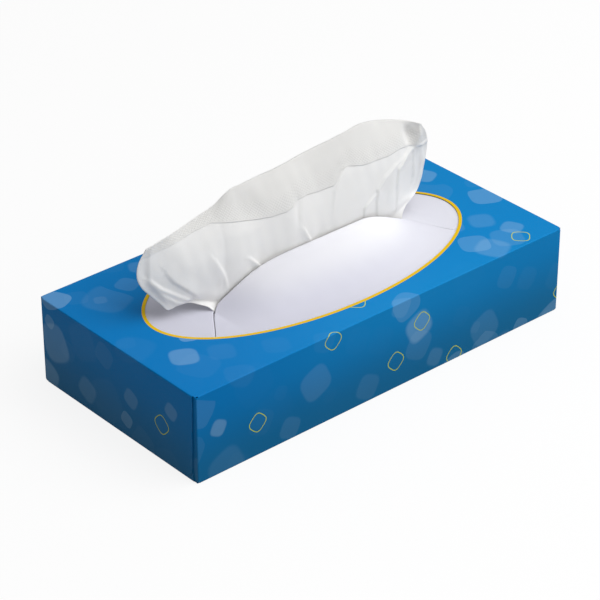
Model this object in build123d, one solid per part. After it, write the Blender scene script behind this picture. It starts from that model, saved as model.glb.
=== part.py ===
"""Flat box of facial tissues with one tissue drawn up through its slit.

The carton is one sheet of folding board: a sleeve of four panels closed by a
glue lap, with three layers of glued flaps over each end and an oval cut-out
in the top panel. A film with a curved slit is glued under the oval. The pack
of interfolded tissues lies on the bottom panel, and the top tissue passes up
through the slit, fans out and turns over at its top edge.

Millimetres. The origin is the middle of the box's underside, +X runs along
the box, +Y across it and +Z up.
"""
from build123d import *
import os
from math import cos, hypot, pi, sin, sqrt

# Carton
box_length = 235.0
box_width = 117.0
box_height = 47.0
board = 0.4
crease_radius = 0.6
glue_lap_height = 14.0
opening_end_inset = 24.2
opening_side_inset = 14.0

# End flaps, from the outside in: top flap, bottom flap, two dust flaps
top_flap_length = 44.4
top_flap_inset = 2.2
top_flap_taper = 1.2
bottom_flap_length = 37.0
bottom_flap_inset = 2.8
bottom_flap_taper = 0.4
flap_corner_radius = 3.5
dust_flap_length = 40.0
dust_flap_gap = 0.3

# Film under the opening, and the slit that divides it into two raised lips
film = 0.2
film_margin_x = 13.5
film_margin_y = 7.5
glue_line = 0.05
slit_left_inset = 16.3
slit_right_inset = 17.3
slit_middle_y = -3.0
slit_left_bend_from = 20.0
slit_left_bend_run = 28.0
slit_left_bend_drop = 26.0
slit_right_bend_from = 16.0
slit_right_bend_run = 24.0
slit_right_bend_drop = 28.0
slit_end_gap = 0.8
slit_middle_gap = 4.0
slit_gap_start_run = 30.0
slit_gap_finish_run = 20.0
near_lip_rise = 14.6
near_lip_from = 13.5
near_lip_start_run = 57.5
near_lip_start_ease = 1.3
near_lip_start_power = 4.0
near_lip_finish_run = 46.0
far_lip_rise = 4.0
far_lip_from = 25.0
far_lip_start_run = 34.0
far_lip_finish_run = 20.0
near_root_inset = 0.6
far_root_end_inset = 5.3
far_root_side_inset = 10.5
lip_column_count = 18
lip_row_count = 5

# Pack of tissues
stack_end_gap = 8.15
stack_side_gap = 5.4
stack_headroom = 6.95
stack_fold_count = 12
stack_fold_bulge = 0.7

# Raised tissue: a tail on the pack, a throat in the slit, a fan above it, and
# a strip turned down over the front from the ridge
tissue = 0.3
throat_left_inset = 17.0
throat_right_inset = 11.0
tail_left_inset = 16.0
tail_right_inset = 12.0
tail_length = 50.0
tail_lift = 0.35
tail_bend_spread = 0.1
ridge_points = [
    (-96.0, 27.0),
    (-89.0, 36.0),
    (-65.0, 41.5),
    (-43.0, 49.0),
    (-16.0, 49.5),
    (8.0, 52.0),
    (38.0, 55.8),
    (61.0, 51.5),
    (80.0, 45.0),
]
ridge_y = 8.0
ridge_radius = 1.9
fan_rise_share = 0.34
fan_lean_share = 0.38
drape_width = 0.3
drape_low = (-12.0, 3.0, -2.5)
drape_high = (0.0, 0.0, -2.0)
flare_width = 0.2
flare_low = (-2.0, -1.0, -3.5)
flare_high = (4.0, -6.0, -3.5)
turn_down_length = 20.0
turn_down_least = 2.5
turn_down_grow = 0.35
turn_down_loss = 8.0
turn_down_tuck = 9.0
pleat_count = 5
pleat_depth_throat = 0.6
pleat_depth_fan = 1.2
pleat_grow = 0.5
pleat_fade = 0.35
pleat_middle_share = 0.3
tissue_column_count = 36
tissue_stations = [-1.0, -0.6, -0.35, -0.18, -0.06, 0.0]
tissue_stations += [0.1, 0.22, 0.36, 0.5, 0.65, 0.82, 1.0]
tissue_stations += [1.15, 1.3, 1.6, 2.0]
turn_share = 0.3

# Places that follow from the sizes above
sleeve_end = box_length / 2 - 2 * board - 2 * crease_radius
opening_half_length = box_length / 2 - opening_end_inset
opening_half_width = box_width / 2 - opening_side_inset
film_top = box_height - board - glue_line
slit_left = slit_left_inset - opening_half_length
slit_right = opening_half_length - slit_right_inset
slit_left_bend = slit_left + slit_left_bend_from
slit_right_bend = slit_right - slit_right_bend_from
near_lip_start = slit_left + near_lip_from
far_lip_start = slit_left + far_lip_from
stack_length = box_length - 2 * (3 * board + stack_end_gap)
stack_width = box_width - 2 * (2 * board + stack_fold_bulge + stack_side_gap)
stack_top = film_top - film - stack_headroom
throat_left = slit_left + throat_left_inset
throat_right = slit_right - throat_right_inset
tail_left = tail_left_inset - stack_length / 2
tail_right = stack_length / 2 - tail_right_inset


def ramp(value):
    """Smooth step from 0 to 1 as the value goes from 0 to 1."""
    value = min(max(value, 0.0), 1.0)
    return value * value * (3.0 - 2.0 * value)


def mix(start, end, share):
    return start + (end - start) * share


def bezier(points, share):
    """Point at the given share of the curve with these control points."""
    while len(points) > 1:
        points = [
            tuple(mix(a, b, share) for a, b in zip(start, end))
            for start, end in zip(points, points[1:])
        ]
    return points[0]


def shifted(point, shift, share):
    return tuple(value + share * step for value, step in zip(point, shift))


def ruled_strips(lines):
    return [Face.make_surface_from_curves(*pair) for pair in zip(lines, lines[1:])]


def end_strips(lower, upper):
    """Faces that close the two ends of a sheet between like rows of lines."""
    faces = []
    for end in (0, 1):
        for low, high in zip(zip(lower, lower[1:]), zip(upper, upper[1:])):
            edges = [Edge.make_line(pair[0] @ end, pair[1] @ end) for pair in (low, high)]
            faces += ruled_strips(edges)
    return faces


def bent_strip(points, turn):
    """Section of a strip of board with right-angled creases.

    Its outer face follows the points, and turn is 1 where the path turns left
    at its creases and -1 where it turns right.
    """
    inner = []
    for index, (across, up) in enumerate(points):
        for start, end in zip(points[max(index - 1, 0):], points[max(index, 1):index + 2]):
            run = hypot(end[0] - start[0], end[1] - start[1])
            across -= turn * board * (end[1] - start[1]) / run
            up += turn * board * (end[0] - start[0]) / run
        inner.append((across, up))
    outline = FilletPolyline(*points, radius=crease_radius)
    outline += Line(points[-1], inner[-1])
    outline += FilletPolyline(*inner, radius=crease_radius - board)
    outline += Line(inner[0], points[0])
    return make_face(outline)


def carton_sleeve():
    """Four panels, the lap glued inside the back panel, and the oval cut-out."""
    half_length = sleeve_end
    half_width = box_width / 2
    lap_y = half_width - board
    panels = bent_strip([
        (half_width, crease_radius),
        (half_width, box_height),
        (-half_width, box_height),
        (-half_width, 0),
        (0, 0),
    ], 1)
    lap = bent_strip([(0, 0), (lap_y, 0), (lap_y, glue_lap_height)], 1)
    sleeve = extrude(Plane.YZ * panels, half_length, both=True)
    sleeve += extrude(Plane.YZ * lap, half_length, both=True)
    oval = Ellipse(opening_half_length, opening_half_width)
    cut = extrude(Pos(0, 0, box_height - 2 * board) * oval, 4 * board)
    return sleeve - cut


def panel_end(crease_x, panel_z):
    """Top or bottom panel carried on past the sleeve at full width to its crease."""
    run = crease_x - crease_radius - sleeve_end
    plate = Rectangle(run, box_width - 2 * crease_radius)
    return extrude(Pos(sleeve_end + run / 2, 0, panel_z) * plate, board)


def flap_outline(root_width, taper, length):
    """Flap as it was cut: it tapers from its crease and has rounded corners."""
    half_root = root_width / 2
    half_tip = half_root - taper
    overlap = 2 * crease_radius
    outline = Polyline(
        (-half_root, overlap),
        (half_root, overlap),
        (half_root, 0),
        (half_tip, -length),
        (-half_tip, -length),
        (-half_root, 0),
        close=True,
    )
    blank = make_face(outline)
    tips = blank.vertices().sort_by(Axis.Y)[:2]
    return fillet(tips, flap_corner_radius)


def long_flap(crease_x, crease_z, down, root_width, taper, length):
    """Flap creased along Y, folded from the top or the bottom panel over the +X end."""
    tip_z = crease_z + down * length
    path = [(sleeve_end, crease_z), (crease_x, crease_z), (crease_x, tip_z)]
    section = bent_strip(path, down)
    strip = extrude(Plane.XZ * section, root_width / 2, both=True)
    outline = flap_outline(root_width, taper, length)
    side = Plane(origin=(0, 0, crease_z), x_dir=(0, 1, 0), z_dir=(1, 0, 0))
    if down > 0:
        outline = mirror(outline, Plane.XZ)
    return strip & extrude(side * outline, box_length)


def dust_flap():
    """Flap creased along Z, folded from the front panel over the +X end."""
    crease_x = box_length / 2 - 2 * board
    crease_y = -box_width / 2
    section = bent_strip([
        (sleeve_end, crease_y),
        (crease_x, crease_y),
        (crease_x, crease_y + dust_flap_length),
    ], 1)
    foot = board + dust_flap_gap
    return extrude(Pos(0, 0, foot) * section, box_height - 2 * foot)


def carton():
    body = carton_sleeve()
    top = long_flap(
        box_length / 2,
        box_height,
        -1,
        box_width - 2 * top_flap_inset,
        top_flap_taper,
        top_flap_length,
    )
    bottom = long_flap(
        box_length / 2 - board,
        0,
        1,
        box_width - 2 * bottom_flap_inset,
        bottom_flap_taper,
        bottom_flap_length,
    )
    dust = dust_flap()
    end_pieces = [
        panel_end(box_length / 2, box_height - board),
        panel_end(box_length / 2 - board, 0),
        top,
        bottom,
        dust,
        mirror(dust, Plane.XZ),
    ]
    for piece in end_pieces:
        body += piece
        body += mirror(piece, Plane.YZ)
    return body


def slit_y(x):
    """Middle line of the slit: straight in its middle and turned down at its ends."""
    left = slit_left_bend_drop * ramp((slit_left_bend - x) / slit_left_bend_run)
    right = slit_right_bend_drop * ramp((x - slit_right_bend) / slit_right_bend_run)
    return slit_middle_y - left - right


def slit_gap(x):
    """Width of the slit, which the tissue holds open in the middle."""
    opened = ramp((x - slit_left) / slit_gap_start_run)
    opened *= ramp((slit_right - x) / slit_gap_finish_run)
    return mix(slit_end_gap, slit_middle_gap, opened)


def near_root_y(x):
    """Just inside the front edge of the opening, where the near lip starts to rise."""
    half_length = opening_half_length - near_root_inset
    half_width = opening_half_width - near_root_inset
    return -half_width * sqrt(1 - (x / half_length) ** 2)


def far_root_y(x):
    half_length = opening_half_length - far_root_end_inset
    half_width = opening_half_width - far_root_side_inset
    return half_width * sqrt(1 - (x / half_length) ** 2)


def lip_point(x, side, share):
    """Point of the near (side -1) or far (side 1) lip, from its root to the slit."""
    if side < 0:
        start = min(max((x - near_lip_start) / near_lip_start_run, 0), 1)
        left = 1 - start ** near_lip_start_ease
        rise = near_lip_rise * (1 - left ** near_lip_start_power)
        rise *= ramp((slit_right - x) / near_lip_finish_run)
        root = near_root_y(x)
    else:
        rise = far_lip_rise * ramp((x - far_lip_start) / far_lip_start_run)
        rise *= ramp((slit_right - x) / far_lip_finish_run)
        root = far_root_y(x)
    edge = slit_y(x) + side * slit_gap(x) / 2
    lift = rise * (1 - cos(pi * share)) / 2
    return Vector(x, mix(root, edge, share), film_top - film + lift)


def lip_lines(side, lift):
    """Lines along a lip, from its root to the slit, on its lower or upper face."""
    shares = [column / lip_column_count for column in range(lip_column_count + 1)]
    lines = []
    for row in range(lip_row_count + 1):
        points = [
            lip_point(mix(slit_left, slit_right, share), side, row / lip_row_count) + lift
            for share in shares
        ]
        lines.append(Edge.make_spline(points, parameters=shares))
    return lines


def film_rim(level):
    half_length = opening_half_length + film_margin_x
    half_width = opening_half_width + film_margin_y
    corners = [
        Vector(end * half_length, side * half_width, level)
        for end, side in ((-1, -1), (1, -1), (1, 1), (-1, 1))
    ]
    return Wire.make_polygon(corners, close=True)


def slit_film():
    """Flat frame of film glued round the opening, and the two lips raised from it."""
    faces = []
    rims = []
    slit_sides = []
    for level in (film_top - film, film_top):
        lift = Vector(0, 0, level - film_top + film)
        near, far = [lip_lines(side, lift) for side in (-1, 1)]
        across = near + far[::-1]
        steps = [
            Edge.make_line(first @ end, second @ end)
            for end in (0, 1)
            for first, second in zip(across, across[1:])
        ]
        rims.append(film_rim(level))
        slit_sides.append([near[-1], far[-1]])
        faces.append(Face(rims[-1], [Wire([near[0], far[0]] + steps)]))
        faces += ruled_strips(near) + ruled_strips(far)
    for pair in zip(*[rim.edges() for rim in rims]):
        faces += ruled_strips(pair)
    for pair in zip(*slit_sides):
        faces += ruled_strips(pair)
    faces += end_strips(*slit_sides)
    return Solid(Shell(faces))


def tissue_stack():
    """Pack of folded tissues: the folds show as small rolls down its long sides."""
    half_width = stack_width / 2
    height = stack_top - board
    pitch = height / stack_fold_count
    outline = Line((-half_width, 0), (half_width, 0))
    for index in range(stack_fold_count):
        low = (half_width, index * pitch)
        high = (half_width, (index + 1) * pitch)
        outline += SagittaArc(low, high, -stack_fold_bulge)
        outline += SagittaArc((-low[0], low[1]), (-high[0], high[1]), stack_fold_bulge)
    outline += Line((-half_width, height), (half_width, height))
    section = Plane.YZ.offset(-stack_length / 2) * Pos(0, board) * make_face(outline)
    return extrude(section, stack_length)


def throat(u):
    """Where the tissue passes through the slit, at share u of its width."""
    x = mix(throat_left, throat_right, u)
    return x, slit_y(x), film_top


def tissue_tail(u, share):
    """The tissue below the slit, which bends back and lies on the pack."""
    x, y, z = throat(u)
    rest_x = mix(tail_left, tail_right, u)
    rest_z = stack_top + tail_lift
    bend = (mix(x, rest_x, tail_bend_spread), y, rest_z)
    end = (rest_x, y + tail_length, rest_z)
    return bezier([(x, y, z), bend, bend, end], share)


def tissue_fan(u, share, ridge_line):
    """The tissue above the slit, up to the ridge, with its left side draped out."""
    x, y, z = throat(u)
    top = ridge_line.position_at(u)
    top_z = film_top + top.Y
    drape = 1 - ramp(u / drape_width)
    flare = 1 - ramp((1 - u) / flare_width)
    low = (x, y, mix(z, top_z, fan_rise_share))
    high = (top.X, ridge_y, mix(z, top_z, fan_lean_share))
    low = shifted(shifted(low, drape_low, drape), flare_low, flare)
    high = shifted(shifted(high, drape_high, drape), flare_high, flare)
    return bezier([(x, y, z), low, high, (top.X, ridge_y, top_z)], share)


def tissue_turn_down(u, share, ridge_line):
    """The strip that turns over at the ridge and hangs down the front."""
    top = ridge_line.position_at(u)
    top_z = film_top + top.Y
    grown = ramp(u / turn_down_grow)
    if share < turn_share:
        angle = pi * share / turn_share
        y = ridge_y - ridge_radius * (1 - cos(angle))
        return top.X, y, top_z + ridge_radius * sin(angle)
    drawn_in = ramp((u - 1 + flare_width) / flare_width)
    hang = mix(turn_down_least, turn_down_length, grown) - turn_down_loss * drawn_in
    down = (share - turn_share) / (1 - turn_share)
    x = top.X - turn_down_tuck * drawn_in * down
    return x, ridge_y - 2 * ridge_radius, top_z - hang * down


def tissue_point(u, station, ridge_line):
    """Point of the tissue at share u of its width.

    Station -1 is its end on the pack, 0 the slit, 1 the ridge and 2 the free
    edge of the strip that is turned down.
    """
    if station < 0:
        x, y, z = tissue_tail(u, -station)
    elif station <= 1:
        x, y, z = tissue_fan(u, station, ridge_line)
    else:
        x, y, z = tissue_turn_down(u, station - 1, ridge_line)
    depth = mix(pleat_depth_throat, pleat_depth_fan, ramp(station / pleat_grow))
    depth *= 1 - ramp(-station / pleat_fade)
    depth *= mix(pleat_middle_share, 1, (2 * u - 1) ** 2)
    return x, y + depth * sin(2 * pi * pleat_count * u), z


def tissue_line(station, side, ridge_line):
    """Line across the tissue on its front (side 1) or back (side -1) face."""
    shares = [column / tissue_column_count for column in range(tissue_column_count + 1)]
    step = 1e-3
    points = []
    for u in shares:
        before, after, below, above, middle = [
            Vector(*tissue_point(*place, ridge_line))
            for place in (
                (max(u - step, 0), station),
                (min(u + step, 1), station),
                (u, max(station - step, tissue_stations[0])),
                (u, min(station + step, tissue_stations[-1])),
                (u, station),
            )
        ]
        normal = (after - before).cross(above - below).normalized()
        points.append(middle + normal * (side * tissue / 2))
    return Edge.make_spline(points, parameters=shares)


def raised_tissue():
    """One sheet of tissue, built as strips between lines that run across it."""
    ridge_line = Spline(*ridge_points)
    fronts, backs = [
        [tissue_line(station, side, ridge_line) for station in tissue_stations]
        for side in (1, -1)
    ]
    faces = ruled_strips(fronts) + ruled_strips(backs)
    for row in (0, -1):
        faces += ruled_strips([fronts[row], backs[row]])
    faces += end_strips(fronts, backs)
    return Solid(Shell(faces))


os.makedirs("parts", exist_ok=True)
export_step(carton(), "parts/carton.step")
export_step(slit_film(), "parts/slit_film.step")
export_step(tissue_stack(), "parts/tissue_stack.step")
export_step(raised_tissue(), "parts/raised_tissue.step")
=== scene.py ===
import math
import random

import bpy
import numpy as np
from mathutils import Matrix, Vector


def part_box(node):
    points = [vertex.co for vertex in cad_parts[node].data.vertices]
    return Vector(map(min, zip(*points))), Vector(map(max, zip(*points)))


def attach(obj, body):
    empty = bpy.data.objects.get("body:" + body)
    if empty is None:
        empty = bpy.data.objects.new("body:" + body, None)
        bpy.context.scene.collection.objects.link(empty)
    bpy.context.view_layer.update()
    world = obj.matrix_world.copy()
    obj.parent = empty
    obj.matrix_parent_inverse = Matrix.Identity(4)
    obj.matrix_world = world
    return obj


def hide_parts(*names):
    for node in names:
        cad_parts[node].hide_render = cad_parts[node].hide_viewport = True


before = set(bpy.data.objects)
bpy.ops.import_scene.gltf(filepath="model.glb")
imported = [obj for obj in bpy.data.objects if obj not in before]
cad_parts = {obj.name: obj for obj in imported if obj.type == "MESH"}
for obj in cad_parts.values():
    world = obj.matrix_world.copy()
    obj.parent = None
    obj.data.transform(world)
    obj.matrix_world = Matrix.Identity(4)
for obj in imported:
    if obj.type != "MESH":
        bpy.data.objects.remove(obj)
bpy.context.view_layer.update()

bl_info = {
    "name": "Tissue Box",
    "version": (1, 0, 0),
    "blender": (4, 5, 0),
    "location": "View3D > Sidebar > Tissue Box",
    "description": "Printed carton of facial tissues with one tissue drawn up through its film",
    "category": "Object",
}

# The boxes of the carton, the film and the pack come from the frame, in metres
CARTON_LOW, CARTON_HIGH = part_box("carton")
FILM_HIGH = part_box("slit_film")[1]
PACK_LOW, PACK_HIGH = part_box("tissue_stack")
MM = 0.001


def ramp(value):
    """Smooth step from 0 to 1 as the value goes from 0 to 1."""
    value = np.clip(value, 0.0, 1.0)
    return value * value * (3.0 - 2.0 * value)


def mix(start, end, share):
    """Value that lies the given share of the way from start to end."""
    return start + (end - start) * share


def through(points, where):
    """Smooth line through given points, whose first number says where each one lies."""
    points = np.array(points, float)
    at = points[:, 0]
    values = points[:, 1:]
    slopes = np.gradient(values, at, axis=0)
    where = np.clip(np.asarray(where, float), at[0], at[-1])
    index = np.clip(np.searchsorted(at, where, side="right") - 1, 0, len(at) - 2)
    span = (at[index + 1] - at[index])[..., None]
    t = (where - at[index])[..., None] / span
    start_weight = (1 + 2 * t) * (1 - t) ** 2
    end_weight = t * t * (3 - 2 * t)
    bent = span * (t * (1 - t) ** 2 * slopes[index] - t * t * (1 - t) * slopes[index + 1])
    return start_weight * values[index] + end_weight * values[index + 1] + bent


def waves(across, along, seed, count, shortest, longest):
    """Sum of soft waves in random directions, about 1 high, the same at every run."""
    draw = random.Random(seed)
    total = np.zeros(np.broadcast(across, along).shape)
    for _ in range(count):
        length = mix(shortest, longest, draw.random())
        turn = draw.uniform(0, math.tau)
        phase = draw.uniform(0, math.tau)
        total += np.sin(
            (across * math.cos(turn) + along * math.sin(turn)) * math.tau / length + phase
        )
    return total / math.sqrt(count)


def linear(red, green, blue):
    """Colour from the usual 0 to 255 scale, as the shaders take it."""
    values = []
    for part in (red, green, blue):
        part = part / 255
        values.append(part / 12.92 if part <= 0.04045 else ((part + 0.055) / 1.055) ** 2.4)
    return (*values, 1.0)


# Meshes


def mesh_object(name, points, faces):
    """New piece in the scene, from points in metres."""
    mesh = bpy.data.meshes.new(name)
    mesh.from_pydata([tuple(point) for point in points], [], faces)
    mesh.validate()
    piece = bpy.data.objects.new(name, mesh)
    bpy.context.scene.collection.objects.link(piece)
    return piece


def grid_faces(rows, columns, skipped=None):
    """Four-sided faces of a grid of points, apart from those that skipped says to leave out."""
    faces = []
    for row in range(rows - 1):
        for column in range(columns - 1):
            if skipped is not None and skipped(row, column):
                continue
            corner = row * columns + column
            faces.append((corner, corner + 1, corner + columns + 1, corner + columns))
    return faces


def thickened(piece, thickness):
    """Gives a sheet its real thickness, the same to both sides, and smooth shading."""
    solidify = piece.modifiers.new("thickness", "SOLIDIFY")
    solidify.thickness = thickness
    solidify.offset = 0.0
    depsgraph = bpy.context.evaluated_depsgraph_get()
    sheet = bpy.data.meshes.new_from_object(piece.evaluated_get(depsgraph))
    piece.modifiers.clear()
    piece.data = sheet
    sheet.polygons.foreach_set("use_smooth", [True] * len(sheet.polygons))
    return piece


# Materials


def new_material(name):
    material = bpy.data.materials.new(name)
    material.use_nodes = True
    tree = material.node_tree
    return material, tree, tree.nodes["Principled BSDF"]


def node(tree, kind, **settings):
    """New shader node: inputs are its first sockets' values or links, and the rest are settings."""
    made = tree.nodes.new(kind)
    inputs = settings.pop("inputs", ())
    for key, value in settings.items():
        setattr(made, key, value)
    for socket, value in zip(made.inputs, inputs):
        fill(tree, socket, value)
    return made


def fill(tree, socket, value):
    """Links the socket to another one, or gives it a value. None leaves it as it is."""
    if value is None:
        return
    if isinstance(value, bpy.types.NodeSocket):
        tree.links.new(value, socket)
    else:
        socket.default_value = value


def math_node(tree, operation, first, second=None, third=None):
    return node(tree, "ShaderNodeMath", operation=operation, inputs=(first, second, third)).outputs[0]


def vector_node(tree, operation, first, second=None):
    made = node(tree, "ShaderNodeVectorMath", operation=operation, inputs=(first, second))
    gives_number = operation in ("LENGTH", "DOT_PRODUCT")
    return made.outputs["Value" if gives_number else "Vector"]


def scaled(tree, vector, factor):
    made = node(tree, "ShaderNodeVectorMath", operation="SCALE", inputs=(vector,))
    fill(tree, made.inputs["Scale"], factor)
    return made.outputs["Vector"]


def blended(tree, share, first, second):
    """Colour that lies the given share of the way from the first one to the second."""
    made = node(tree, "ShaderNodeMix", data_type="RGBA")
    fill(tree, made.inputs["Factor"], share)
    fill(tree, made.inputs["A"], first)
    fill(tree, made.inputs["B"], second)
    return made.outputs["Result"]


def stepped(tree, value, low, high, to_low=0.0, to_high=1.0):
    """Smooth change from to_low to to_high as the value goes from low to high."""
    made = node(tree, "ShaderNodeMapRange", interpolation_type="SMOOTHSTEP")
    for socket, item in zip(made.inputs, (value, low, high, to_low, to_high)):
        fill(tree, socket, item)
    return made.outputs["Result"]


def noise(tree, vector, scale, detail=2.0):
    made = node(tree, "ShaderNodeTexNoise")
    fill(tree, made.inputs["Vector"], vector)
    made.inputs["Scale"].default_value = scale
    made.inputs["Detail"].default_value = detail
    return made.outputs["Fac"]


def bumped(tree, shader, height, distance):
    """Gives the shader a fine relief, which is distance metres high where height is 1."""
    made = node(tree, "ShaderNodeBump")
    made.inputs["Distance"].default_value = distance
    fill(tree, made.inputs["Height"], height)
    tree.links.new(made.outputs["Normal"], shader.inputs["Normal"])


# Sizes and colours that a user would change


class CartonLook(bpy.types.PropertyGroup):
    top_left: bpy.props.FloatVectorProperty(
        name="Left blue",
        description="Blue of the print towards the left end of the top",
        subtype="COLOR",
        size=4,
        default=linear(0, 116, 184),
    )
    top_right: bpy.props.FloatVectorProperty(
        name="Right blue",
        description="Blue of the print towards the right end of the top",
        subtype="COLOR",
        size=4,
        default=linear(4, 126, 192),
    )
    glow: bpy.props.FloatVectorProperty(
        name="Glow",
        description="Light blue in the middle of the front crease",
        subtype="COLOR",
        size=4,
        default=linear(14, 136, 200),
    )
    foot: bpy.props.FloatVectorProperty(
        name="Foot blue",
        description="Dull blue at the foot of the side panels",
        subtype="COLOR",
        size=4,
        default=linear(14, 92, 130),
    )
    pale_motif: bpy.props.FloatVectorProperty(
        name="Pale motif",
        description="Colour that the soft printed shapes fade towards",
        subtype="COLOR",
        size=4,
        default=linear(150, 190, 222),
    )
    gold: bpy.props.FloatVectorProperty(
        name="Gold ink",
        description="Colour of the line round the opening",
        subtype="COLOR",
        size=4,
        default=linear(224, 184, 20),
    )
    outline: bpy.props.FloatVectorProperty(
        name="Outline ink",
        description="Greenish gold of the thin outlines",
        subtype="COLOR",
        size=4,
        default=linear(196, 206, 40),
    )
    unprinted: bpy.props.FloatVectorProperty(
        name="Bare board",
        description="Colour of the board's inside",
        subtype="COLOR",
        size=4,
        default=linear(206, 203, 196),
    )
    # Painted shadow: a dark colour on the board's cut edge round the opening, standing in for the
    # shade under the board's edge
    cut_edge_shadow: bpy.props.FloatVectorProperty(
        name="Cut edge",
        description="Colour of the board's thin cut edge round the opening",
        subtype="COLOR",
        size=4,
        default=linear(74, 70, 62),
    )
    line_width: bpy.props.FloatProperty(
        name="Line width",
        description="Width of the gold line round the opening",
        unit="LENGTH",
        default=1.7 * MM,
    )
    motif_strength: bpy.props.FloatProperty(
        name="Motif strength",
        description="How far the strongest of the soft shapes fades to the pale colour",
        subtype="FACTOR",
        default=0.3,
    )


class FilmLook(bpy.types.PropertyGroup):
    # Painted shade: the two flat colours paint the flat film darker on the left, where the tissue
    # shades it from the light, and lighter on the right
    shaded_flat_left: bpy.props.FloatVectorProperty(
        name="Flat film, left",
        description="Cool grey of the film where it lies flat over the dark inside of the box",
        subtype="COLOR",
        size=4,
        default=linear(203, 203, 216),
    )
    shaded_flat_right: bpy.props.FloatVectorProperty(
        name="Flat film, right",
        description="Colour of the flat film where the tissue lies closer under it",
        subtype="COLOR",
        size=4,
        default=linear(220, 220, 230),
    )
    # Painted highlight: the two lip colours paint the lips lighter as they rise towards the light,
    # most on the right
    lit_lip_left: bpy.props.FloatVectorProperty(
        name="Raised film, left",
        description="White of the film's lips at their left, where the tissue backs them",
        subtype="COLOR",
        size=4,
        default=linear(219, 219, 226),
    )
    lit_lip_right: bpy.props.FloatVectorProperty(
        name="Raised film, right",
        description="White of the film's lips at their right",
        subtype="COLOR",
        size=4,
        default=linear(248, 248, 252),
    )
    thickness: bpy.props.FloatProperty(
        name="Thickness",
        description="Thickness of the film",
        unit="LENGTH",
        default=0.2 * MM,
    )
    pucker: bpy.props.FloatProperty(
        name="Pucker",
        description="Depth of the soft puckers beside the slit",
        unit="LENGTH",
        default=0.1 * MM,
    )


class TissueLook(bpy.types.PropertyGroup):
    colour: bpy.props.FloatVectorProperty(
        name="Paper",
        description="Soft white of the paper",
        subtype="COLOR",
        size=4,
        default=linear(247, 246, 243),
    )
    thickness: bpy.props.FloatProperty(
        name="Thickness",
        description="Thickness of the two plies together",
        unit="LENGTH",
        default=0.18 * MM,
    )
    crumple: bpy.props.FloatProperty(
        name="Crumple",
        description="Height of the small soft waves in the sheet",
        unit="LENGTH",
        default=0.07 * MM,
    )
    fold_scale: bpy.props.FloatProperty(
        name="Fold scale",
        description="Share of the folds' full height",
        subtype="FACTOR",
        default=1.0,
    )


class StageLook(bpy.types.PropertyGroup):
    floor: bpy.props.FloatVectorProperty(
        name="Floor",
        description="Colour of the plain floor",
        subtype="COLOR",
        size=4,
        default=(0.9, 0.9, 0.9, 1.0),
    )
    floor_bounce: bpy.props.FloatVectorProperty(
        name="Floor bounce",
        description="Colour with which the floor throws light back onto the box",
        subtype="COLOR",
        size=4,
        default=(0.25, 0.25, 0.25, 1.0),
    )
    key_power: bpy.props.FloatProperty(
        name="Key light",
        description="Power of the large light in front on the right",
        unit="POWER",
        default=26.5,
    )
    sky: bpy.props.FloatProperty(
        name="Sky",
        description="Strength of the even light from all round",
        default=0.38,
    )
    azimuth: bpy.props.FloatProperty(
        name="Azimuth",
        description="Camera's turn about the box, from straight in front",
        unit="ROTATION",
        default=math.radians(-41.106),
    )
    elevation: bpy.props.FloatProperty(
        name="Elevation",
        description="Camera's height angle",
        unit="ROTATION",
        default=math.radians(31.034),
    )
    distance: bpy.props.FloatProperty(
        name="Distance",
        description="Camera's distance from the middle of the box's underside",
        unit="LENGTH",
        default=1268.38 * MM,
    )
    slide: bpy.props.FloatVectorProperty(
        name="Slide",
        description="Camera's slide to its right and up",
        size=2,
        unit="LENGTH",
        default=(-3.189 * MM, 21.546 * MM),
    )
    lens: bpy.props.FloatProperty(
        name="Lens",
        description="Focal length in millimetres on a sensor 36 mm wide",
        unit="CAMERA",
        default=153.75,
    )


# Carton, in millimetres

BOX_LENGTH = (CARTON_HIGH.x - CARTON_LOW.x) / MM
BOX_WIDTH = (CARTON_HIGH.y - CARTON_LOW.y) / MM
BOX_HEIGHT = CARTON_HIGH.z / MM
OPENING_HALF_LENGTH = 93.3
OPENING_HALF_WIDTH = 44.5
BOARD_THICKNESS = 0.4
GLUE_LINE = 0.05

# Layers of soft shapes: how far the shapes stand apart, the layer's turn, where it
# starts, and the smallest and the largest radius
SOFT_LAYERS = [
    (31.0, 0.45, (7.0, 3.0, 0.0), 6.0, 13.0),
    (22.0, 1.1, (2.0, 9.0, 0.0), 3.5, 9.0),
]
MOST_PALE = 0.7

# Layer of thin outlines: the same first three values, and then the outlines'
# radius, the width of their line, and the share of the shapes that get one
OUTLINE_LAYER = (26.0, 0.8, (5.0, 1.0, 0.0), 4.4, 0.36, 0.1)
GLOW_X = 10.0
GLOW_REACH = (120.0, 42.0, 1.0)
GLOW_SHARE = 0.5
FOOT_SHARE = 0.75


def unfolded(tree, position, normal):
    """Place on the flat board in millimetres: a side panel goes on from the crease of the top."""
    place = node(tree, "ShaderNodeSeparateXYZ", inputs=(scaled(tree, position, 1 / MM),))
    facing = node(tree, "ShaderNodeSeparateXYZ", inputs=(vector_node(tree, "ABSOLUTE", normal),))
    down = math_node(tree, "SUBTRACT", BOX_HEIGHT, place.outputs["Z"])
    coordinates = []
    for axis in "XY":
        on_side = math_node(tree, "GREATER_THAN", facing.outputs[axis], 0.7)
        side = math_node(tree, "SIGN", place.outputs[axis])
        shift = math_node(tree, "MULTIPLY", math_node(tree, "MULTIPLY", down, side), on_side)
        coordinates.append(math_node(tree, "ADD", place.outputs[axis], shift))
    flat = node(tree, "ShaderNodeCombineXYZ", inputs=(coordinates[0], coordinates[1], 0.0))
    return flat.outputs[0], place, down


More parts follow.
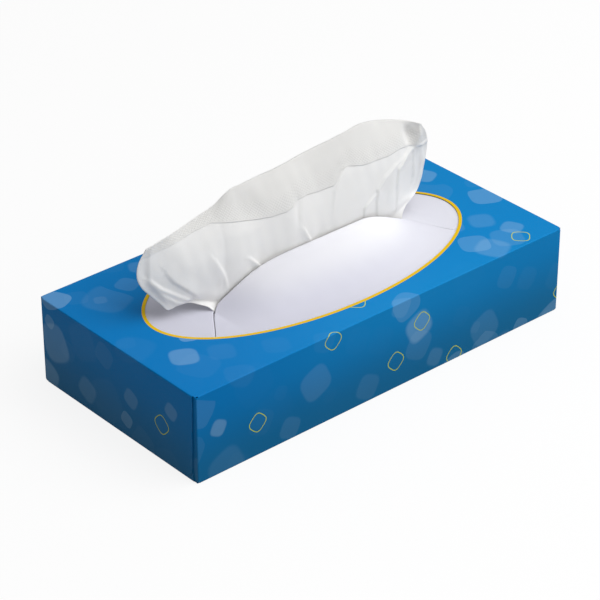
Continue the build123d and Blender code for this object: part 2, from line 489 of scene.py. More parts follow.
def motif_layer(tree, flat, spacing, turn, shift):
    """One layer of rounded squares: the distance from the nearest centre in
    millimetres, and three random shares of that shape."""
    local = node(tree, "ShaderNodeMapping", vector_type="TEXTURE")
    fill(tree, local.inputs["Vector"], flat)
    local.inputs["Location"].default_value = shift
    local.inputs["Rotation"].default_value = (0.0, 0.0, turn)
    local.inputs["Scale"].default_value = (spacing, spacing, 1.0)
    cells = node(
        tree,
        "ShaderNodeTexVoronoi",
        voronoi_dimensions="2D",
        feature="F1",
        distance="MINKOWSKI",
    )
    fill(tree, cells.inputs["Vector"], local.outputs[0])
    cells.inputs["Scale"].default_value = 1.0
    cells.inputs["Exponent"].default_value = 3.2
    cells.inputs["Randomness"].default_value = 0.62
    distance = math_node(tree, "MULTIPLY", cells.outputs["Distance"], spacing)
    shares = node(tree, "ShaderNodeSeparateColor", inputs=(cells.outputs["Color"],))
    return distance, shares.outputs


def soft_shapes(tree, flat, spacing, turn, shift, least, most, strength):
    """Share of the pale colour that one layer of soft shapes adds."""
    distance, shares = motif_layer(tree, flat, spacing, turn, shift)
    radius = stepped(tree, shares[0], 0.0, 1.0, least, most)
    edge = math_node(tree, "DIVIDE", distance, radius)
    blur = stepped(tree, shares[1], 0.0, 1.0, 0.04, 0.3)
    inner = math_node(tree, "SUBTRACT", 1.0, blur)
    strong = math_node(tree, "POWER", shares[2], 2.2)
    return stepped(tree, edge, 1.0, inner, 0.0, math_node(tree, "MULTIPLY", strong, strength))


def thin_outlines(tree, flat, spacing, turn, shift, radius, width, share):
    """1 on the line of those shapes of a layer that are picked, at the given share."""
    distance, shares = motif_layer(tree, flat, spacing, turn, shift)
    line = math_node(tree, "COMPARE", distance, radius, width / 2)
    picked = math_node(tree, "LESS_THAN", shares[2], share)
    return math_node(tree, "MULTIPLY", line, picked)


def print_material(look):
    """Blue print with soft pale shapes, thin outlines, a gold line round the opening, and a painted
    shadow on the opening's cut edge.
    """
    material, tree, shader = new_material("printed_board")
    position = node(tree, "ShaderNodeTexCoord").outputs["Object"]
    normal = node(tree, "ShaderNodeNewGeometry").outputs["Normal"]
    flat, place, down = unfolded(tree, position, normal)
    facing = node(tree, "ShaderNodeSeparateXYZ", inputs=(normal,))

    along = stepped(tree, place.outputs["X"], -BOX_LENGTH * 0.45, BOX_LENGTH * 0.55)
    colour = blended(tree, along, tuple(look.top_left), tuple(look.top_right))
    to_glow = node(tree, "ShaderNodeMapping", vector_type="TEXTURE")
    fill(tree, to_glow.inputs["Vector"], flat)
    to_glow.inputs["Location"].default_value = (GLOW_X, -BOX_WIDTH / 2, 0.0)
    to_glow.inputs["Scale"].default_value = GLOW_REACH
    from_glow = vector_node(tree, "LENGTH", to_glow.outputs[0])
    near_glow = stepped(tree, from_glow, 1.0, 0.0, 0.0, GLOW_SHARE)
    colour = blended(tree, near_glow, colour, tuple(look.glow))
    low_down = stepped(tree, down, 2.0, BOX_HEIGHT, 0.0, FOOT_SHARE)
    colour = blended(tree, low_down, colour, tuple(look.foot))

    large, small = (soft_shapes(tree, flat, *layer, look.motif_strength) for layer in SOFT_LAYERS)
    pale = math_node(tree, "MINIMUM", math_node(tree, "ADD", large, small), MOST_PALE)
    colour = blended(tree, pale, colour, tuple(look.pale_motif))
    outlines = thin_outlines(tree, flat, *OUTLINE_LAYER)
    colour = blended(tree, outlines, colour, tuple(look.outline))

    line = look.line_width / MM
    oval = node(tree, "ShaderNodeMapping", vector_type="TEXTURE")
    fill(tree, oval.inputs["Vector"], flat)
    oval.inputs["Scale"].default_value = (OPENING_HALF_LENGTH + line, OPENING_HALF_WIDTH + line, 1.0)
    inside = math_node(tree, "LESS_THAN", vector_node(tree, "LENGTH", oval.outputs[0]), 1.0)
    colour = blended(tree, inside, colour, tuple(look.gold))

    middle = (0.0, 0.0, BOX_HEIGHT * MM / 2)
    from_middle = vector_node(tree, "SUBTRACT", position, middle)
    outwards = vector_node(tree, "DOT_PRODUCT", normal, from_middle)
    bare = math_node(tree, "LESS_THAN", outwards, 0.0)
    colour = blended(tree, bare, colour, tuple(look.unprinted))
    # Painted shadow: the upright cut faces of the top panel's board get the dark cut-edge colour, as
    # the shade under the opening's edge
    upright = math_node(tree, "LESS_THAN", math_node(tree, "ABSOLUTE", facing.outputs["Z"]), 0.5)
    in_panel = math_node(tree, "LESS_THAN", down, BOARD_THICKNESS + 0.1)
    cut = math_node(tree, "MULTIPLY", math_node(tree, "MULTIPLY", upright, in_panel), bare)
    colour = blended(tree, cut, colour, tuple(look.cut_edge_shadow))

    fibres = noise(tree, flat, 1.6, 3.0)
    mottled = math_node(tree, "MULTIPLY_ADD", fibres, 0.08, 0.96)
    tree.links.new(scaled(tree, colour, mottled), shader.inputs["Base Color"])
    tree.links.new(stepped(tree, fibres, 0.2, 0.8, 0.46, 0.56), shader.inputs["Roughness"])
    shader.inputs["Specular IOR Level"].default_value = 0.08
    sway = noise(tree, flat, 0.025, 1.0)
    height = math_node(tree, "MULTIPLY_ADD", sway, 30.0, math_node(tree, "MULTIPLY", fibres, 0.25))
    bumped(tree, shader, height, 0.02 * MM)
    return material


class TISSUEBOX_OT_dress_carton(bpy.types.Operator):
    """Print the carton: blue with soft shapes, and a gold line round its opening"""

    bl_idname = "tissue_box.dress_carton"
    bl_label = "Dress carton"
    bl_options = {"REGISTER", "UNDO"}

    def execute(self, context):
        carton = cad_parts["carton"]
        carton.data.materials.clear()
        carton.data.materials.append(print_material(context.scene.tissue_box_carton))
        return {"FINISHED"}


# Film, in millimetres

FILM_TOP = BOX_HEIGHT - BOARD_THICKNESS - GLUE_LINE
SLIT_LEFT = -77.0
SLIT_RIGHT = 76.0
SLIT_Y = -3.0
CLOSED_GAP = 0.45
OPEN_GAP = 4.0
NEAR_RISE = 14.6
FAR_RISE = 4.0
FILM_ROWS = 56
SLIT_COLUMNS = 170
END_COLUMNS = 12


def slit_y(x):
    """Middle line of the slit: straight in its middle and turned down at its ends."""
    return SLIT_Y - 26.0 * ramp((-57.0 - x) / 28.0) - 28.0 * ramp((x - 60.0) / 24.0)


def slit_gap(x):
    """Width of the slit: open where the tissue passes, and closed towards its ends."""
    return mix(CLOSED_GAP, OPEN_GAP, ramp((x + 68.0) / 22.0) * ramp((SLIT_RIGHT - x) / 24.0))


def near_rise(x):
    """Height of the near lip's edge: up steeply at its left, and down gently to its right."""
    start = np.clip((x + 63.5) / 57.5, 0.0, 1.0)
    return NEAR_RISE * (1 - (1 - start ** 1.3) ** 4) * ramp((SLIT_RIGHT - x) / 46.0)


def far_rise(x):
    """Height of the far lip's edge, which stays below the near one."""
    return FAR_RISE * ramp((x + 52.0) / 34.0) * ramp((SLIT_RIGHT - x) / 30.0)


def near_root_y(x):
    """Where the near lip starts to rise from the flat film."""
    return -43.9 * np.sqrt(np.clip(1 - (x / 92.7) ** 2, 0.0, 1.0))


def far_root_y(x):
    """Where the far lip starts to rise from the flat film."""
    return 34.0 * np.sqrt(np.clip(1 - (x / 88.0) ** 2, 0.0, 1.0))


def film_point(x, side, share, look):
    """Point of the near (side -1) or far (side 1) part, from the film's rim to the slit."""
    rim = side * (FILM_HIGH.y / MM)
    edge = slit_y(x) + side * slit_gap(x) / 2
    between = (x > SLIT_LEFT) & (x < SLIT_RIGHT)
    rise, root = (near_rise(x), near_root_y(x)) if side < 0 else (far_rise(x), far_root_y(x))
    y = mix(rim, edge, share)
    climb = np.clip((y - root) / (edge - root), 0.0, 1.0) * between
    z = rise * (1 - np.cos(np.pi * climb)) / 2
    pucker = look.pucker / MM * waves(x, y, 3, 7, 9.0, 26.0)
    z += pucker * np.sin(np.pi * climb) ** 2
    return np.stack([x, y, FILM_TOP - look.thickness / MM / 2 + z], axis=-1)


def film_material(look):
    """Satin film with painted light and shade: cool grey where it lies flat, painted lighter up the
    lips as a highlight, and painted lighter towards the right, where the light comes from.
    """
    material, tree, shader = new_material("film")
    position = node(tree, "ShaderNodeTexCoord").outputs["Object"]
    place = node(tree, "ShaderNodeSeparateXYZ", inputs=(scaled(tree, position, 1 / MM),))
    # Painted light and shade: lighter to the right, where the light comes from, and a painted
    # highlight up the lips
    lit_to_right = stepped(tree, place.outputs["X"], -30.0, 70.0)
    flat = blended(tree, lit_to_right, tuple(look.shaded_flat_left), tuple(look.shaded_flat_right))
    raised = blended(tree, lit_to_right, tuple(look.lit_lip_left), tuple(look.lit_lip_right))
    up_near_lip = stepped(tree, place.outputs["Z"], FILM_TOP + 2.0, FILM_TOP + 13.0)
    up_far_lip = stepped(tree, place.outputs["Z"], FILM_TOP, FILM_TOP + FAR_RISE)
    on_far_lip = stepped(tree, place.outputs["Y"], SLIT_Y - 3.0, SLIT_Y + 1.0)
    lip_highlight = math_node(tree, "MULTIPLY_ADD", up_far_lip, on_far_lip, up_near_lip)
    tree.links.new(blended(tree, lip_highlight, flat, raised), shader.inputs["Base Color"])
    shader.inputs["Subsurface Weight"].default_value = 0.15
    shader.inputs["Subsurface Radius"].default_value = (1.0, 1.0, 1.0)
    shader.inputs["Subsurface Scale"].default_value = 1.0 * MM
    shader.inputs["Specular IOR Level"].default_value = 0.3
    grain = noise(tree, position, 900.0)
    tree.links.new(stepped(tree, grain, 0.3, 0.7, 0.44, 0.52), shader.inputs["Roughness"])
    bumped(tree, shader, noise(tree, position, 45.0, 1.0), 0.15 * MM)
    return material


class TISSUEBOX_OT_make_film(bpy.types.Operator):
    """Make the film under the opening, with its curved slit and the two lips raised from it"""

    bl_idname = "tissue_box.make_film"
    bl_label = "Make film"
    bl_options = {"REGISTER", "UNDO"}

    def execute(self, context):
        look = context.scene.tissue_box_film
        half_length = FILM_HIGH.x / MM
        columns = np.unique(
            np.concatenate([
                np.linspace(-half_length, SLIT_LEFT, END_COLUMNS),
                np.linspace(SLIT_LEFT, SLIT_RIGHT, SLIT_COLUMNS),
                np.linspace(SLIT_RIGHT, half_length, END_COLUMNS),
            ])
        )
        shares = np.linspace(0.0, 1.0, FILM_ROWS)
        x, share = np.meshgrid(columns, shares)
        near = film_point(x, -1, share, look)
        far = film_point(x, 1, share[::-1], look)
        points = np.concatenate([near, far]).reshape(-1, 3) * MM

        def in_slit(row, column):
            return row == FILM_ROWS - 1 and SLIT_LEFT <= columns[column] < SLIT_RIGHT

        faces = grid_faces(2 * FILM_ROWS, len(columns), skipped=in_slit)
        film = thickened(mesh_object("film", points, faces), look.thickness)
        film.data.materials.append(film_material(look))
        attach(film, "root")
        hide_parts("slit_film")
        return {"FINISHED"}


# Pack of tissues, in millimetres

FOLDED_TISSUES = 50
STEPS_PER_FOLD = 4
PACK_STATIONS = 40
SIDE_INSET = 1.4
SIDE_DRIFT = 0.35
MOST_DRIFT = 0.9


class TISSUEBOX_OT_make_pack(bpy.types.Operator):
    """Make the pack of folded tissues, whose folds show as small rolls down its long sides"""

    bl_idname = "tissue_box.make_pack"
    bl_label = "Make pack"
    bl_options = {"REGISTER", "UNDO"}

    def execute(self, context):
        low, high = PACK_LOW / MM, PACK_HIGH / MM
        pitch = (high.z - low.z) / FOLDED_TISSUES
        steps = STEPS_PER_FOLD * FOLDED_TISSUES
        up = np.linspace(0.0, 1.0, steps + 1)
        heights = mix(low.z, high.z, up)
        roll = np.abs(np.sin(np.pi * up * FOLDED_TISSUES)) * pitch / 2
        stations = np.linspace(low.x, high.x, PACK_STATIONS)
        x, row = np.meshgrid(stations, np.arange(steps + 1))
        drift = SIDE_DRIFT * waves(x, heights[row] * 9.0, 5, 6, 30.0, 90.0)
        out = high.y - SIDE_INSET + roll[row] + np.clip(drift, -MOST_DRIFT, MOST_DRIFT)
        front = np.stack([x, -out, heights[row]], axis=-1)
        back = np.stack([x, out, heights[row]], axis=-1)[::-1]
        loop = np.concatenate([front, back])
        rows, count = loop.shape[:2]
        faces = grid_faces(rows, count)
        faces += [
            (column + 1, column, (rows - 1) * count + column, (rows - 1) * count + column + 1)
            for column in range(count - 1)
        ]
        for column, turn in ((0, 1), (count - 1, -1)):
            for step in range(steps):
                ring = [step, step + 1, rows - 2 - step, rows - 1 - step]
                faces.append(tuple(index * count + column for index in ring[::turn]))
        pack = mesh_object("tissue_pack", loop.reshape(-1, 3) * MM, faces)
        pack.data.materials.append(paper_material("pack_paper", context.scene.tissue_box_tissue))
        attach(pack, "root")
        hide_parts("tissue_stack")
        return {"FINISHED"}


# Raised tissue, in millimetres

THROAT_LEFT = -63.0
THROAT_RIGHT = 60.5

# Points that draw the sheet up from the slit to its top. Each list goes across the
# sheet from its left edge to its right one: the share of the way, and then x, y, z
LOW_CONTROL = [
    (0.00, -74.0, 1.0, 47.0),
    (0.08, -68.0, -2.0, 50.0),
    (0.20, -47.0, -2.5, 55.0),
    (0.35, -23.0, -2.5, 57.0),
    (0.50, -1.0, -2.5, 58.0),
    (0.65, 19.0, -2.5, 59.0),
    (0.80, 39.0, -2.5, 58.0),
    (0.92, 56.0, -2.5, 56.0),
    (1.00, 68.0, -1.0, 52.0),
]
MIDDLE_CONTROL = [
    (0.00, -90.0, 4.0, 55.0),
    (0.08, -78.0, -2.0, 60.0),
    (0.20, -57.0, -7.0, 65.0),
    (0.35, -30.0, -7.5, 67.0),
    (0.50, -5.0, -7.5, 69.0),
    (0.65, 16.0, -7.5, 70.0),
    (0.80, 40.0, -7.0, 70.0),
    (0.92, 60.0, -4.5, 66.0),
    (1.00, 82.0, 3.0, 60.0),
]
HIGH_CONTROL = [
    (0.00, -100.0, 7.0, 66.0),
    (0.08, -87.0, 5.0, 73.0),
    (0.20, -65.0, 1.0, 79.0),
    (0.35, -33.0, 0.0, 82.0),
    (0.50, -4.0, 0.0, 84.0),
    (0.65, 19.0, 0.0, 86.0),
    (0.80, 45.0, 0.0, 87.0),
    (0.92, 67.0, 2.0, 84.0),
    (1.00, 88.0, 6.0, 76.0),
]
RIDGE = [
    (0.00, -90.5, 8.5, 84.0),
    (0.07, -77.7, 10.0, 85.5),
    (0.17, -59.2, 11.5, 87.8),
    (0.23, -47.2, 11.5, 90.9),
    (0.27, -40.1, 11.5, 95.1),
    (0.33, -30.1, 11.5, 96.3),
    (0.42, -13.0, 11.5, 97.3),
    (0.55, 11.1, 11.5, 99.4),
    (0.68, 33.2, 11.5, 101.8),
    (0.76, 45.2, 11.5, 102.6),
    (0.86, 61.3, 11.5, 98.9),
    (0.93, 71.0, 9.5, 96.4),
    (1.00, 78.6, 6.0, 94.0),
]

# The sheet's two free edges, with the share of the way from the slit up to the top:
# the left one droops to a corner above the film, and the right one stands over the
# far lip. EDGE_REACH is the share of the sheet that bends with each of them
LEFT_EDGE = [
    (0.00, -63.0, -6.0, 46.5),
    (0.06, -65.1, -4.0, 48.9),
    (0.12, -68.0, -2.0, 50.3),
    (0.22, -72.8, 1.0, 51.9),
    (0.31, -78.5, 2.0, 52.0),
    (0.40, -84.1, 2.0, 51.9),
    (0.49, -87.3, 4.0, 55.7),
    (0.57, -90.3, 6.0, 59.5),
    (0.69, -94.7, 8.0, 65.5),
    (0.78, -96.1, 9.0, 70.5),
    (0.89, -94.8, 9.0, 77.8),
    (1.00, -90.5, 8.5, 84.0),
]
RIGHT_EDGE = [
    (0.00, 60.5, -3.0, 46.5),
    (0.08, 62.8, -1.0, 51.2),
    (0.15, 67.1, 1.0, 53.3),
    (0.26, 74.0, 3.0, 54.7),
    (0.36, 79.0, 5.5, 56.0),
    (0.62, 84.3, 6.5, 72.2),
    (0.74, 85.8, 7.0, 79.4),
    (0.83, 84.7, 6.5, 85.0),
    (1.00, 78.6, 6.0, 94.0),
]
EDGE_REACH = 0.13

# Free hem of the strip turned over the top, as (x, z) seen from the front
HEM = [
    (-95, 79.5),
    (-80, 81),
    (-64, 83.5),
    (-53, 85),
    (-39.5, 82.5),
    (-29.5, 80.5),
    (-21.5, 79.5),
    (-13, 79.5),
    (-7.5, 81),
    (-5, 82.5),
    (0.5, 83),
    (9, 82),
    (18, 82),
    (20.5, 83.5),
    (25, 87.5),
    (28, 88.5),
    (38, 86),
    (45.5, 85.5),
    (54.5, 85),
    (63.5, 85.5),
    (73, 84),
    (90, 83.5),
]
FLAP_GAP = 0.25
FLAP_BEND = 1.0
FLAP_CREST = 0.3
LEAST_FLAP = 0.8

# The lower part that lies on the pack: it runs back, and at the share TAIL_TURN it
# turns and returns under itself
TAIL_LEFT = -92.0
TAIL_RIGHT = 96.0
TAIL_RUN = 50.0
TAIL_RETURN = 62.0
TAIL_LEVEL = 40.0
TAIL_TURN = 0.52
TAIL_SPREAD = 0.1
TAIL_DROP = 0.36
TAIL_DROP_SHARE = 0.06

TAIL_ROWS = 30
FAN_ROWS = 110
FLAP_ROWS = 46
COLUMNS = 250

# Folds of the sheet, from their upper to their lower end: a line of (x, z)
# points seen from the front, its height, and its reach to the left and right
FOLDS = [
    ([(-88, 82), (-90, 73), (-90.5, 67), (-86.5, 60.5), (-83.5, 54)], 1.0, 2.4, 8.0),
    ([(-91, 68.5), (-86, 63), (-79.5, 58.5), (-67.5, 50.5)], 1.0, 6.0, 1.4),
    ([(-82.5, 70), (-80, 65.5), (-75.5, 61.5), (-70.5, 56.5), (-65, 50)], 1.0, 1.2, 7.0),
    ([(-86, 60), (-80, 55), (-74, 52.5)], 0.6, 3.0, 1.0),
    ([(-49.5, 84.5), (-50.5, 77), (-52, 70.5), (-55, 56.5), (-55.5, 52)], -1.0, 9.0, 9.0),
    ([(-58, 70.5), (-54, 62), (-52.5, 54), (-53, 47.5)], 0.9, 6.0, 1.2),
    ([(-39, 65.5), (-36, 62.5), (-32.5, 58.5), (-28, 53)], 1.0, 4.0, 0.9),
    ([(-4.5, 83), (-7, 76.5), (-8, 70)], -0.6, 4.0, 3.0),
    ([(-5, 69), (-3.5, 65.5), (-1.5, 62), (0.5, 56)], 0.9, 4.0, 0.9),
    ([(27.5, 88.5), (22, 84), (18, 80), (15, 73)], 0.7, 1.4, 7.0),
    ([(73, 83.5), (65, 80), (59.5, 77.5), (58, 70.5), (58, 50)], 1.2, 0.8, 6.0),
    ([(72.5, 82.5), (57, 79.5), (49.5, 76.5), (44, 72), (43, 65.5), (44, 53.5)], 1.1, 0.8, 7.0),
    ([(42.5, 70), (36, 67), (34.5, 65.5), (34, 54.5)], 1.0, 0.8, 7.0),
    ([(78, 94.5), (77, 88.5), (74, 83.5)], 3.6, 4.5, 9.0),
    ([(74, 83.5), (80, 81.5), (86, 81)], 1.4, 1.4, 5.0),
    ([(74, 82.5), (74.5, 76), (75, 65), (68, 53.5)], 1.0, 1.2, 4.0),
    ([(76.5, 81), (76, 75.5), (76.5, 69.5)], -0.8, 1.6, 1.6),
    ([(80.5, 80.5), (81.5, 70.5), (78.5, 59)], 1.0, 3.0, 5.0),
]

# Soft dents: the middle seen from the front, the reach across and up, and the depth
DENTS = [
    ((-37.0, 86.5), (17.0, 11.0), 1.6),
    ((71.5, 89.5), (4.5, 6.5), 2.2),
]

# Height of the sheet's widest waves, and the share of the fan next to the slit over
# which the folds and waves grow to their full height
BILLOW = 0.5
SMOOTH_SHARE = 0.4


def bezier(points, share):
    """Point of the smooth line that the given points draw out."""
    while len(points) > 1:
        points = [mix(start, end, share) for start, end in zip(points, points[1:])]
    return points[0]


def throat(u):
    """Line on which the sheet passes through the slit."""
    x = mix(THROAT_LEFT, THROAT_RIGHT, u)
    return np.stack([x, slit_y(x), np.full_like(x, FILM_TOP)], axis=-1)


def fan_middle(u, share):
    """Point of the sheet above the slit, as the lists across the sheet draw it."""
    start = throat(u)
    controls = [through(points, u) for points in (LOW_CONTROL, MIDDLE_CONTROL, HIGH_CONTROL, RIDGE)]
    return bezier([start, *controls], share[..., None])


def fan_point(u, share):
    """Point of the sheet above the slit, drawn out to its two free edges."""
    point = fan_middle(u, share)
    for edge, end in ((LEFT_EDGE, 0.0), (RIGHT_EDGE, 1.0)):
        shift = through(edge, share) - fan_middle(np.full_like(u, end), share)
        point += shift * (1 - ramp(np.abs(u - end) / EDGE_REACH))[..., None]
    return point


def fold_relief(x, z):
    """How far the folds lift the fan towards the front at each place."""
    lift = np.zeros_like(x)
    for middle, reach, depth in DENTS:
        away = np.hypot((x - middle[0]) / reach[0], (z - middle[1]) / reach[1])
        lift -= depth * ramp(1.0 - away)
    for line, height, left, right in FOLDS:
        best = np.full_like(x, 1e9)
        nearest = np.zeros_like(x)
        shown = np.zeros_like(x)
        line = np.array(line, float)
        for index, (start, end) in enumerate(zip(line, line[1:])):
            along = end - start
            length = float(np.hypot(*along))
            t = np.clip(((x - start[0]) * along[0] + (z - start[1]) * along[1]) / length ** 2, 0, 1)
            off_x = x - start[0] - t * along[0]
            off_z = z - start[1] - t * along[1]
            distance = np.hypot(off_x, off_z)
            side = np.sign(off_z * along[0] - off_x * along[1])
            closer = distance < best
            best = np.where(closer, distance, best)
            nearest = np.where(closer, side * distance, nearest)
            share = (index + t) / (len(line) - 1)
            shown = np.where(closer, np.sin(np.pi * mix(0.15, 0.92, share)), shown)
        reach = np.where(nearest < 0, left, right)
        lift += height * shown * np.clip(1 - np.abs(nearest) / reach, 0.0, 1.0) ** 1.6
    return lift


def flap_rows(fan):
    """The strip turned over the top, which follows each column of the fan down to the
    hem, and how far each of its points lies above the hem."""
    hem = np.array(HEM, float)
    down = np.linspace(0.0, 1.0, FLAP_ROWS)[1:]
    rows = np.zeros((len(down), fan.shape[1], 3))
    above = np.zeros(rows.shape[:2])
    for column in range(fan.shape[1]):
        line = fan[::-1, column]
        over = line[:, 2] - np.interp(line[:, 0], hem[:, 0], hem[:, 1])
        walked = np.concatenate([[0.0], np.cumsum(np.linalg.norm(np.diff(line, axis=0), axis=1))])
        below = np.flatnonzero(over < 0)[0] if over[0] > 0 else 0
        length = LEAST_FLAP
        if below:
            share = over[below - 1] / (over[below - 1] - over[below])
            length = max(length, mix(walked[below - 1], walked[below], share))
        for axis in range(3):
            rows[:, column, axis] = np.interp(down * length, walked, line[:, axis])
        above[:, column] = (1 - down) * length
        turned = np.clip(down * length / FLAP_BEND, 0.0, 1.0)
        rows[:, column, 1] -= FLAP_GAP * (1 - np.cos(np.pi * turned)) / 2
        rows[:, column, 2] += FLAP_CREST * np.sin(np.pi * turned)
    return rows, above


def tail_point(u, share):
    """The tissue below the slit: it bends back onto the pack and turns under itself there."""
    start = throat(u)
    rest_x = mix(TAIL_LEFT, TAIL_RIGHT, u)
    level = np.full_like(u, TAIL_LEVEL)
    bend_x = mix(start[..., 0], rest_x, TAIL_SPREAD)
    bend = np.stack([bend_x, start[..., 1], level], axis=-1)
    end = np.stack([rest_x, start[..., 1] + TAIL_RUN, level], axis=-1)
    run = bezier([start, bend, bend, end], np.clip(share / TAIL_TURN, 0.0, 1.0)[..., None])
    back = np.clip((share - TAIL_TURN) / (1 - TAIL_TURN), 0.0, 1.0)
    run[..., 1] -= TAIL_RETURN * back
    run[..., 2] -= TAIL_DROP * ramp(back / TAIL_DROP_SHARE)
    return run


class TISSUEBOX_OT_make_tissue(bpy.types.Operator):
    """Make the tissue drawn up through the slit, with its folds and the strip turned over its top"""

    bl_idname = "tissue_box.make_tissue"
    bl_label = "Make tissue"
    bl_options = {"REGISTER", "UNDO"}

    def execute(self, context):
        look = context.scene.tissue_box_tissue
        across = np.linspace(0.0, 1.0, COLUMNS)
        tail_u, tail_share = np.meshgrid(across, np.linspace(1.0, 0.0, TAIL_ROWS)[:-1])
        tail = tail_point(tail_u, tail_share)
        fan_u, fan_share = np.meshgrid(across, np.linspace(0.0, 1.0, FAN_ROWS))
        fan = fan_point(fan_u, fan_share)
        x, z = fan[..., 0].copy(), fan[..., 2].copy()
        lift = look.fold_scale * fold_relief(x, z)
        lift += look.crumple / MM * waves(x, z, 11, 9, 7.0, 19.0)
        lift += BILLOW * waves(x, z, 12, 5, 28.0, 60.0)
        fan[..., 1] -= lift * ramp(fan_share / SMOOTH_SHARE)
        flap, above = flap_rows(fan)
        sheet = np.concatenate([tail, fan, flap])
        # Outside the strip, the height above the hem is negative: no dots there
        place = np.stack([sheet[..., 0], np.full(sheet.shape[:2], -1.0), sheet[..., 2]], axis=-1)
        place[-len(above):, :, 1] = above
        faces = grid_faces(len(sheet), COLUMNS)
        piece = mesh_object("raised_sheet", sheet.reshape(-1, 3) * MM, faces)
        above_hem = piece.data.attributes.new("above_hem", "FLOAT_VECTOR", "POINT")
        above_hem.data.foreach_set("vector", place.ravel())
        thickened(piece, look.thickness)
        piece.data.materials.append(paper_material("tissue_paper", look))
        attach(piece, "root")
        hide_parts("raised_tissue")
        return {"FINISHED"}


# Band of pressed dots along the hem, in millimetres apart from the dots' depth,
# which is a share of the paper's relief
DOT_PITCH = 1.8
DOT_DEPTH = 0.9
BAND_START = 0.7
BAND_WIDTH = 9.0


def paper_material(name, look):
    """Soft two-ply paper: fine fibres, dots along the hem, and light that comes through."""
    material, tree, shader = new_material(name)
    position = node(tree, "ShaderNodeTexCoord").outputs["Object"]
    cloud = noise(tree, position, 60.0, 3.0)
    fibres = noise(tree, position, 2200.0, 4.0)
    shade = stepped(tree, cloud, 0.3, 0.7, 0.975, 1.0)
    tree.links.new(scaled(tree, tuple(look.colour)[:3], shade), shader.inputs["Base Color"])
    shader.inputs["Roughness"].default_value = 0.9
    shader.inputs["Specular IOR Level"].default_value = 0.2
    shader.inputs["Sheen Weight"].default_value = 0.15
    shader.inputs["Subsurface Weight"].default_value = 0.35
    shader.inputs["Subsurface Radius"].default_value = (1.0, 1.0, 1.0)
    shader.inputs["Subsurface Scale"].default_value = 3.0 * MM
    height = math_node(tree, "MULTIPLY_ADD", fibres, 0.5, math_node(tree, "MULTIPLY", cloud, 2.0))
    height = math_node(tree, "ADD", height, pressed_dots(tree))
    bumped(tree, shader, height, 0.06 * MM)
    return material


def pressed_dots(tree):
    """Rows of dots that join the two plies in a band along the hem."""
    place = node(tree, "ShaderNodeAttribute", attribute_name="above_hem").outputs["Vector"]
    place = node(tree, "ShaderNodeSeparateXYZ", inputs=(place,))
    above_start = stepped(tree, place.outputs["Y"], BAND_START, BAND_START + 0.6)
    below_end = stepped(tree, place.outputs["Y"], BAND_WIDTH, BAND_WIDTH - 0.8)
    band = math_node(tree, "MULTIPLY", above_start, below_end)
    turns = []
    for axis in "XY":
        angle = math_node(tree, "MULTIPLY", place.outputs[axis], math.tau / DOT_PITCH)
        turns.append(math_node(tree, "SINE", angle))
    dots = stepped(tree, math_node(tree, "MULTIPLY", *turns), 0.0, 0.8, 0.0, DOT_DEPTH)
    return math_node(tree, "MULTIPLY", band, dots)


# Stage, in metres, and the camera's sensor in millimetres

FLOOR_REACH = 6.0
FLOOR_WHITE = 0.86
KEY_PLACE = (0.55, -0.75, 1.25)
KEY_SIZE = 1.7
SENSOR_WIDTH = 36.0


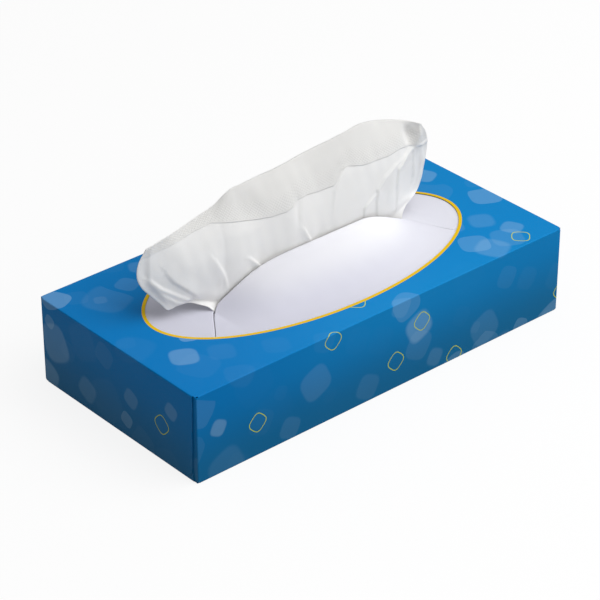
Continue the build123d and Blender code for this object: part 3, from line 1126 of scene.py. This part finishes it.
class TISSUEBOX_OT_set_stage(bpy.types.Operator):
    """Set the plain floor, the soft light and the camera"""

    bl_idname = "tissue_box.set_stage"
    bl_label = "Set stage"
    bl_options = {"REGISTER", "UNDO"}

    def execute(self, context):
        scene = context.scene
        look = scene.tissue_box_stage
        scene.view_settings.view_transform = "Standard"
        self.make_floor(look)
        self.make_sky(scene, look)
        self.make_key_light(scene, look)
        self.make_camera(scene, look)
        return {"FINISHED"}

    def make_floor(self, look):
        signs = [(-1, -1), (1, -1), (1, 1), (-1, 1)]
        corners = [(FLOOR_REACH * x, FLOOR_REACH * y, 0.0) for x, y in signs]
        floor = mesh_object("floor", corners, [(0, 1, 2, 3)])
        material, tree, shader = new_material("floor")
        shader.inputs["Roughness"].default_value = 0.9
        seen = node(tree, "ShaderNodeLightPath")
        rays = (seen.outputs["Is Camera Ray"], seen.outputs["Is Glossy Ray"])
        direct = math_node(tree, "MAXIMUM", *rays)
        colour = blended(tree, direct, tuple(look.floor_bounce), tuple(look.floor))
        tree.links.new(colour, shader.inputs["Base Color"])
        white = node(tree, "ShaderNodeEmission")
        joined = node(tree, "ShaderNodeMixShader")
        tree.links.new(math_node(tree, "MULTIPLY", direct, FLOOR_WHITE), joined.inputs[0])
        tree.links.new(shader.outputs[0], joined.inputs[1])
        tree.links.new(white.outputs[0], joined.inputs[2])
        tree.links.new(joined.outputs[0], tree.nodes["Material Output"].inputs["Surface"])
        floor.data.materials.append(material)

    def make_sky(self, scene, look):
        world = bpy.data.worlds.new("sky")
        scene.world = world
        world.use_nodes = True
        tree = world.node_tree
        seen = node(tree, "ShaderNodeLightPath")
        background = tree.nodes["Background"]
        background.inputs["Color"].default_value = (1.0, 1.0, 1.0, 1.0)
        strength = stepped(tree, seen.outputs["Is Camera Ray"], 0.0, 1.0, look.sky, 1.0)
        tree.links.new(strength, background.inputs["Strength"])

    def make_key_light(self, scene, look):
        light = bpy.data.lights.new("key_light", "AREA")
        light.energy = look.key_power
        light.size = KEY_SIZE
        lamp = bpy.data.objects.new("key_light", light)
        lamp.location = KEY_PLACE
        lamp.rotation_euler = Vector(KEY_PLACE).to_track_quat("Z", "Y").to_euler()
        scene.collection.objects.link(lamp)

    def make_camera(self, scene, look):
        camera = bpy.data.cameras.new("camera")
        camera.lens = look.lens
        camera.sensor_width = SENSOR_WIDTH
        viewer = bpy.data.objects.new("camera", camera)
        back = Vector((
            math.sin(look.azimuth) * math.cos(look.elevation),
            -math.cos(look.azimuth) * math.cos(look.elevation),
            math.sin(look.elevation),
        ))
        turned = back.to_track_quat("Z", "Y")
        right = turned @ Vector((1, 0, 0))
        up = turned @ Vector((0, 1, 0))
        viewer.rotation_euler = turned.to_euler()
        viewer.location = back * look.distance + right * look.slide[0] + up * look.slide[1]
        scene.collection.objects.link(viewer)
        scene.camera = viewer


class TISSUEBOX_PT_panel(bpy.types.Panel):
    """Lists the sizes and colours, and the steps that make the tissue box"""

    bl_label = "Tissue Box"
    bl_space_type = "VIEW_3D"
    bl_region_type = "UI"
    bl_category = "Tissue Box"

    def draw(self, context):
        for look in LOOKS:
            for name in LOOKS[look].__annotations__:
                self.layout.prop(getattr(context.scene, look), name)
        for operator in OPERATORS:
            self.layout.operator(operator.bl_idname)


LOOKS = {
    "tissue_box_carton": CartonLook,
    "tissue_box_film": FilmLook,
    "tissue_box_tissue": TissueLook,
    "tissue_box_stage": StageLook,
}
OPERATORS = (
    TISSUEBOX_OT_dress_carton,
    TISSUEBOX_OT_make_film,
    TISSUEBOX_OT_make_pack,
    TISSUEBOX_OT_make_tissue,
    TISSUEBOX_OT_set_stage,
)


def register():
    for item in (*LOOKS.values(), *OPERATORS, TISSUEBOX_PT_panel):
        bpy.utils.register_class(item)
    for name, group in LOOKS.items():
        setattr(bpy.types.Scene, name, bpy.props.PointerProperty(type=group))


def unregister():
    for name in LOOKS:
        delattr(bpy.types.Scene, name)
    for item in (TISSUEBOX_PT_panel, *OPERATORS[::-1], *LOOKS.values()):
        bpy.utils.unregister_class(item)


def main():
    register()
    bpy.ops.tissue_box.dress_carton()
    bpy.ops.tissue_box.make_film()
    bpy.ops.tissue_box.make_pack()
    bpy.ops.tissue_box.make_tissue()
    bpy.ops.tissue_box.set_stage()


if __name__ == "__main__":
    main()
